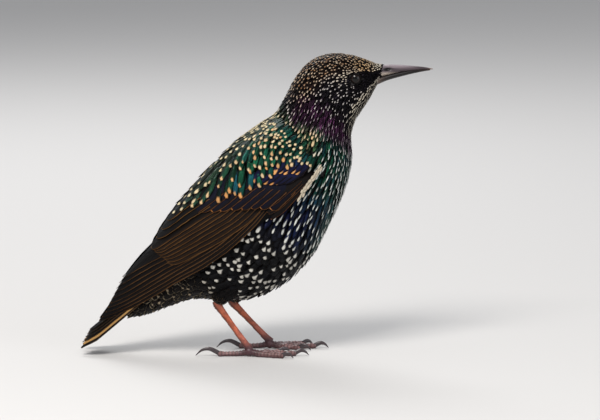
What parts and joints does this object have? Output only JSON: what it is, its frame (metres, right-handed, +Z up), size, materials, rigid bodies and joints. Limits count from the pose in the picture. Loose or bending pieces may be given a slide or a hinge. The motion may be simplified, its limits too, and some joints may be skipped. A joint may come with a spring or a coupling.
{
  "type": "starling",
  "caption": "Life-size common starling in winter plumage, a still model standing on both feet with its wings folded and its bill level.",
  "frame": {"origin": "on the floor under the middle of the bird's bounding box", "axes": "+X the way the bill points, +Y to the bird's left, +Z up"},
  "size_m": [0.1718, 0.0614, 0.1479],
  "materials": {
    "plumage_head": "black feathers with a purple gloss and buff specks",
    "plumage_neck": "purple and green glossed feathers with pale pointed tips",
    "plumage_body": "black feathers glossed green and blue, with pale spots",
    "plumage_wing": "blackish brown feathers with narrow buff edges",
    "plumage_tail": "blackish brown feathers with narrow buff edges",
    "bill": "smooth horn, satin",
    "eye": "wet gloss",
    "leg": "scaled skin, satin",
    "claw": "dark horn, satin"
  },
  "bodies": {
    "root": {"head": "plumage_head", "neck": "plumage_neck", "torso": "plumage_body", "tail": "plumage_tail", "bill_upper": "bill", "bill_lower": "bill", "wing_left": "plumage_wing", "wing_right": "plumage_wing", "eye_right": "eye", "tarsus_right": "leg", "foot_right": "leg", "thigh_right": "plumage_body", "claw_right_middle": "claw", "claw_right_inner": "claw", "claw_right_outer": "claw", "claw_right_hind": "claw", "eye_left": "eye", "tarsus_left": "leg", "foot_left": "leg", "thigh_left": "plumage_body", "claw_left_middle": "claw", "claw_left_inner": "claw", "claw_left_outer": "claw", "claw_left_hind": "claw"}
  },
  "joints": []
}
